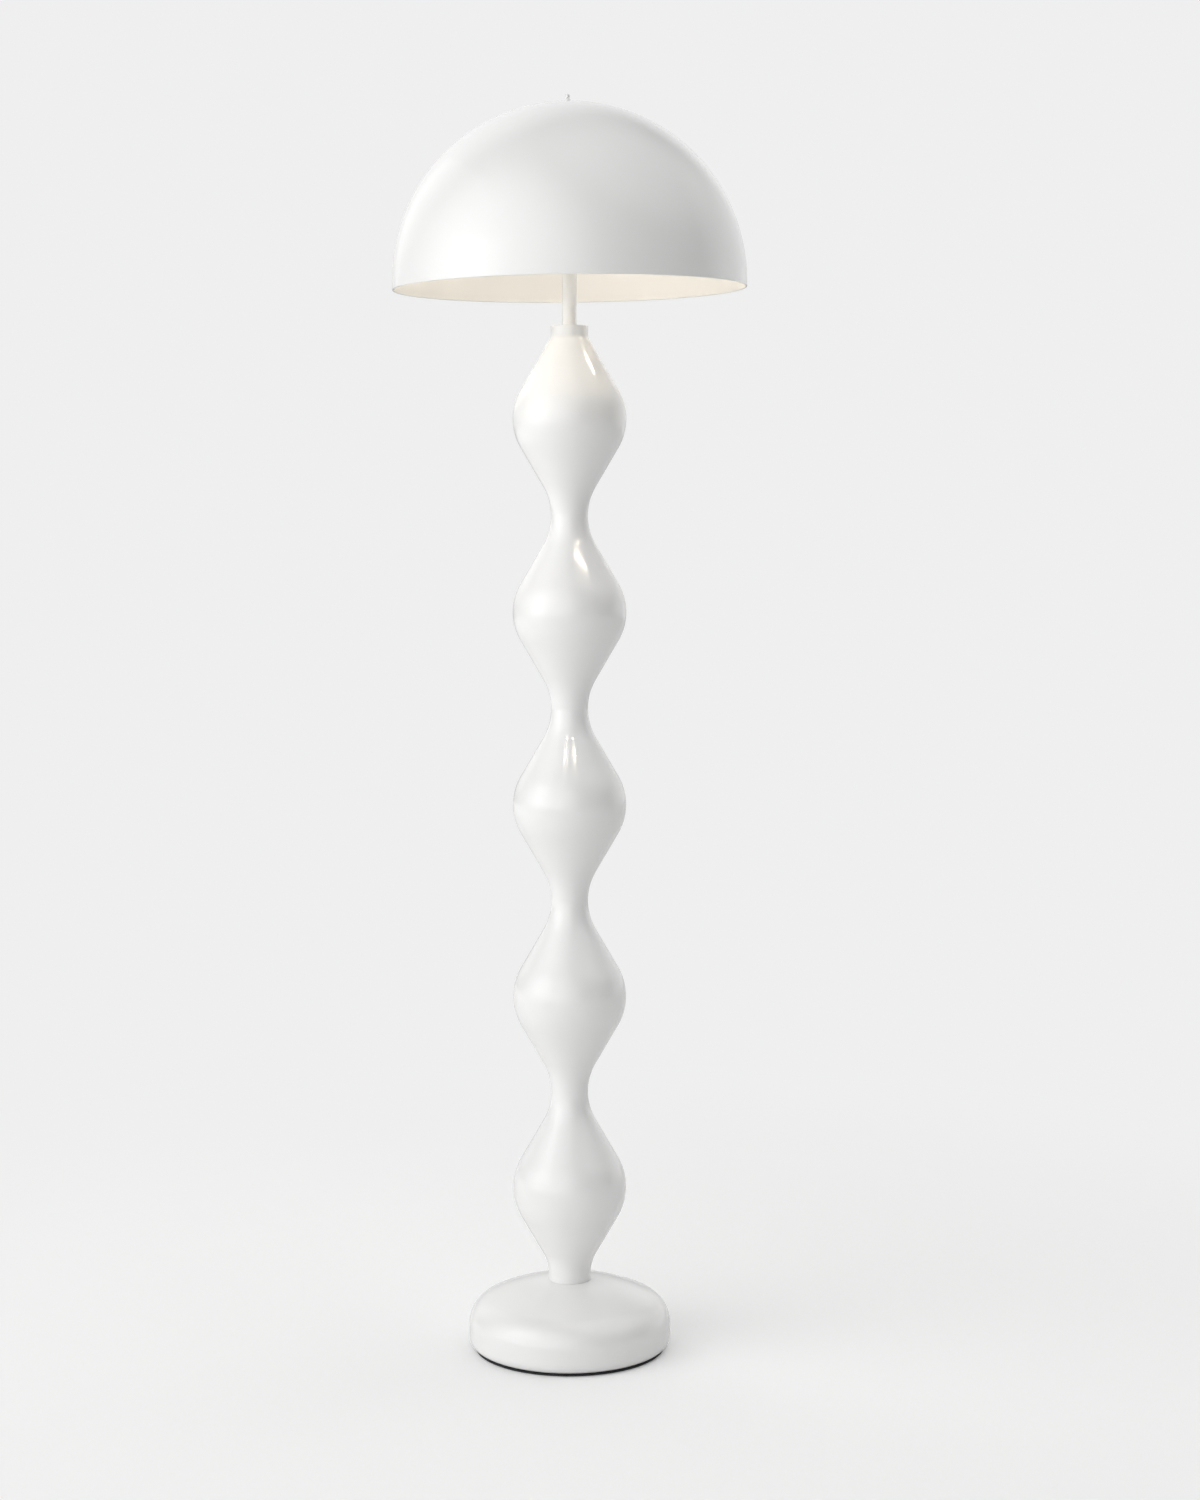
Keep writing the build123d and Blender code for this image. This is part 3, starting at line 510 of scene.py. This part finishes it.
near_or_far = add_node(tree, "ShaderNodeMixShader", {
    0: fade_seen.outputs["Value"], 1: near_paper.outputs["Shader"], 2: far_paper.outputs["Emission"]})
below = add_node(tree, "ShaderNodeNewGeometry").outputs["Backfacing"]
clear = add_node(tree, "ShaderNodeBsdfTransparent")
one_sided = add_node(tree, "ShaderNodeMixShader", {
    0: below, 1: near_or_far.outputs["Shader"], 2: clear.outputs["BSDF"]})
end_finish(tree, one_sided.outputs["Shader"])
floor_mesh.materials.append(sweep)
print("floor reaches", floor_reach, "m")

# %% [markdown]
# ## The light round the lamp
#
# A glossy white object shows the room more than it shows itself. In the
# photograph the left side is bright, the tone falls evenly to a soft grey on
# the right, and the very edge on the right turns lighter again, because a
# gloss coat mirrors strongly at a grazing look. A studio gets there with large
# pale cloths hung round the object. Real cloths would stand in the way of the
# other views, and the world's own light can carry the same pattern. It is a
# sum of soft round patches, each with a direction, a width and a strength.

# %% Hang the cloths
def towards(angle, rise):
    """A direction: degrees to the left of the front, and degrees above level."""
    turn, lift = radians(angle), radians(rise)
    return Vector((-sin(turn) * cos(lift), -cos(turn) * cos(lift), sin(lift)))


cloths = [
    # degrees to the left, degrees up, half its width in degrees, strength
    (44, 6, 71, 1.80),
    (-93, 60, 45, 1.2),
    (-135, 5, 45, 1.1),
    (165, 30, 45, 1.0),
]

world = bpy.data.worlds.new("studio_room")
world.use_nodes = True
room = world.node_tree
room.nodes.clear()
way = add_node(room, "ShaderNodeTexCoord").outputs["Generated"]
glow = 0.0
for angle, rise, spread, strength in cloths:
    near = add_node(room, "ShaderNodeVectorMath", {
        0: way, 1: towards(angle, rise)}, operation="DOT_PRODUCT")
    patch = add_node(room, "ShaderNodeMapRange", {
        "Value": near.outputs["Value"], "From Min": cos(radians(spread)), "From Max": 1.0,
        "To Min": 0.0, "To Max": strength}, interpolation_type="SMOOTHSTEP")
    total = add_node(room, "ShaderNodeMath", {0: patch.outputs["Result"], 1: glow}, operation="ADD")
    glow = total.outputs["Value"]
walls = add_node(room, "ShaderNodeBackground", {"Strength": glow, "Color": (1, 1, 1, 1)})
backdrop = add_node(room, "ShaderNodeBackground", {"Color": backdrop_grey})
seen = add_node(room, "ShaderNodeLightPath")
room_seen = add_node(room, "ShaderNodeMixShader", {
    0: seen.outputs["Is Camera Ray"], 1: walls.outputs["Background"], 2: backdrop.outputs["Background"]})
add_node(room, "ShaderNodeOutputWorld", {"Surface": room_seen.outputs["Shader"]})
bpy.context.scene.world = world
print("cloths hung:", len(cloths))

# %% [markdown]
# ## The softboxes
#
# Two panels stand on the left. A wide wall of light runs from the front to the
# back and brightens that whole side. In front of it stands a smaller window,
# which gives the bright patch low on the shade and the small soft spot on each
# bulb of the column.

# %% Stand up the softboxes
def softbox(name, place, aim, width, height, watts, tint=(1, 1, 1)):
    """A rectangular panel of light at one place, turned towards another."""
    panel = bpy.data.lights.new(name, "AREA")
    panel.shape = "RECTANGLE"
    panel.size, panel.size_y = width, height
    panel.energy = watts
    panel.color = tint
    holder = bpy.data.objects.new(name, panel)
    holder.location = place
    holder.rotation_euler = (Vector(aim) - Vector(place)).to_track_quat("-Z", "Y").to_euler()
    holder.visible_camera = False
    bpy.context.scene.collection.objects.link(holder)
    return holder


softbox("wall_light", place=(-2.0, 1.0, 1.75), aim=(0, 1.0, 1.75), width=4.9, height=3.5, watts=15)
window_aim = Vector((0, 0, 1.35))
window_reach = 2.0
softbox(
    "window_light", place=towards(61, 0) * window_reach + window_aim, aim=window_aim,
    width=1.35, height=1.3, watts=4)

# %% [markdown]
# ## The small warm reflections
#
# On the column sit a few small warm marks. Counted from the floor, the fourth
# bulb has one, the third has two side by side, and the fifth has a thin streak
# on its right shoulder. They look like mirror images of small warm lamps.
# Painting them on would leave them in place from every side, which a mirror
# image never does, so each mark gets a small card of warm light where its
# mirror ray arrives. A card is seen by mirror rays alone and shines in a narrow
# cone, so it neither tints the lacquer round its mark nor shows on the other
# bulbs.

# %% Place the warm cards
def warm_card(name, spot, start, end, thickness, brightness, cone):
    """A strip of warm light from start to end, facing a spot, for mirror rays only."""
    spot, start, end = Vector(spot), Vector(start), Vector(end)
    middle = (start + end) / 2
    back = (middle - spot).normalized()
    along = (end - start).normalized()
    across = back.cross(along).normalized()
    along = across.cross(back)
    length = (end - start).length
    watts = brightness * length * thickness
    card = softbox(name, middle, spot, length, thickness, watts, tint=paint("FFF0D2")[:3])
    card.rotation_euler = Matrix((along, across, back)).transposed().to_euler()
    card.visible_diffuse = False
    card.data.spread = radians(cone)
    return card


def mirrored(spot, normal, reach):
    """Where a look from the camera goes after it meets the lacquer at a spot."""
    to_camera = (camera.location - spot).normalized()
    return spot + (2 * normal.dot(to_camera) * normal - to_camera).normalized() * reach


flank_rise = radians(30.2)
card_reach = 0.25
flank_thickness, flank_cone = 0.0016, 35


def flank_card(name, turn, radius, height, length, brightness):
    """A level card that mirrors at one place on a bulb's upper flank."""
    out = Vector((sin(radians(turn)), -cos(radians(turn)), 0))
    spot = out * radius + Vector((0, 0, height))
    middle = mirrored(spot, out * cos(flank_rise) + Vector((0, 0, sin(flank_rise))), card_reach)
    side = Vector((cos(radians(turn)), sin(radians(turn)), 0)) * length / 2
    return warm_card(name, spot, middle - side, middle + side, flank_thickness, brightness, flank_cone)


flank_card("warm_card_4", turn=17.5, radius=0.040, height=0.920, length=0.13, brightness=34)
flank_card("warm_card_3_left", turn=-6.1, radius=0.039, height=0.692, length=0.035, brightness=34)
flank_card("warm_card_3_right", turn=7.5, radius=0.039, height=0.692, length=0.035, brightness=34)
warm_card(
    "warm_card_5", spot=(0.0243, -0.033, 1.1425), start=(0.1017, -0.0329, 1.2455),
    end=(0.126, -0.018, 1.2275), thickness=0.007, brightness=30, cone=60)

# %% [markdown]
# ## Colour of the print
#
# The picture is meant to look like a plain product photograph, so the view
# transform is the standard one, without a film look, and a colour comes out
# as it was chosen.

# %% Choose the view and finish
bpy.context.scene.view_settings.view_transform = "Standard"
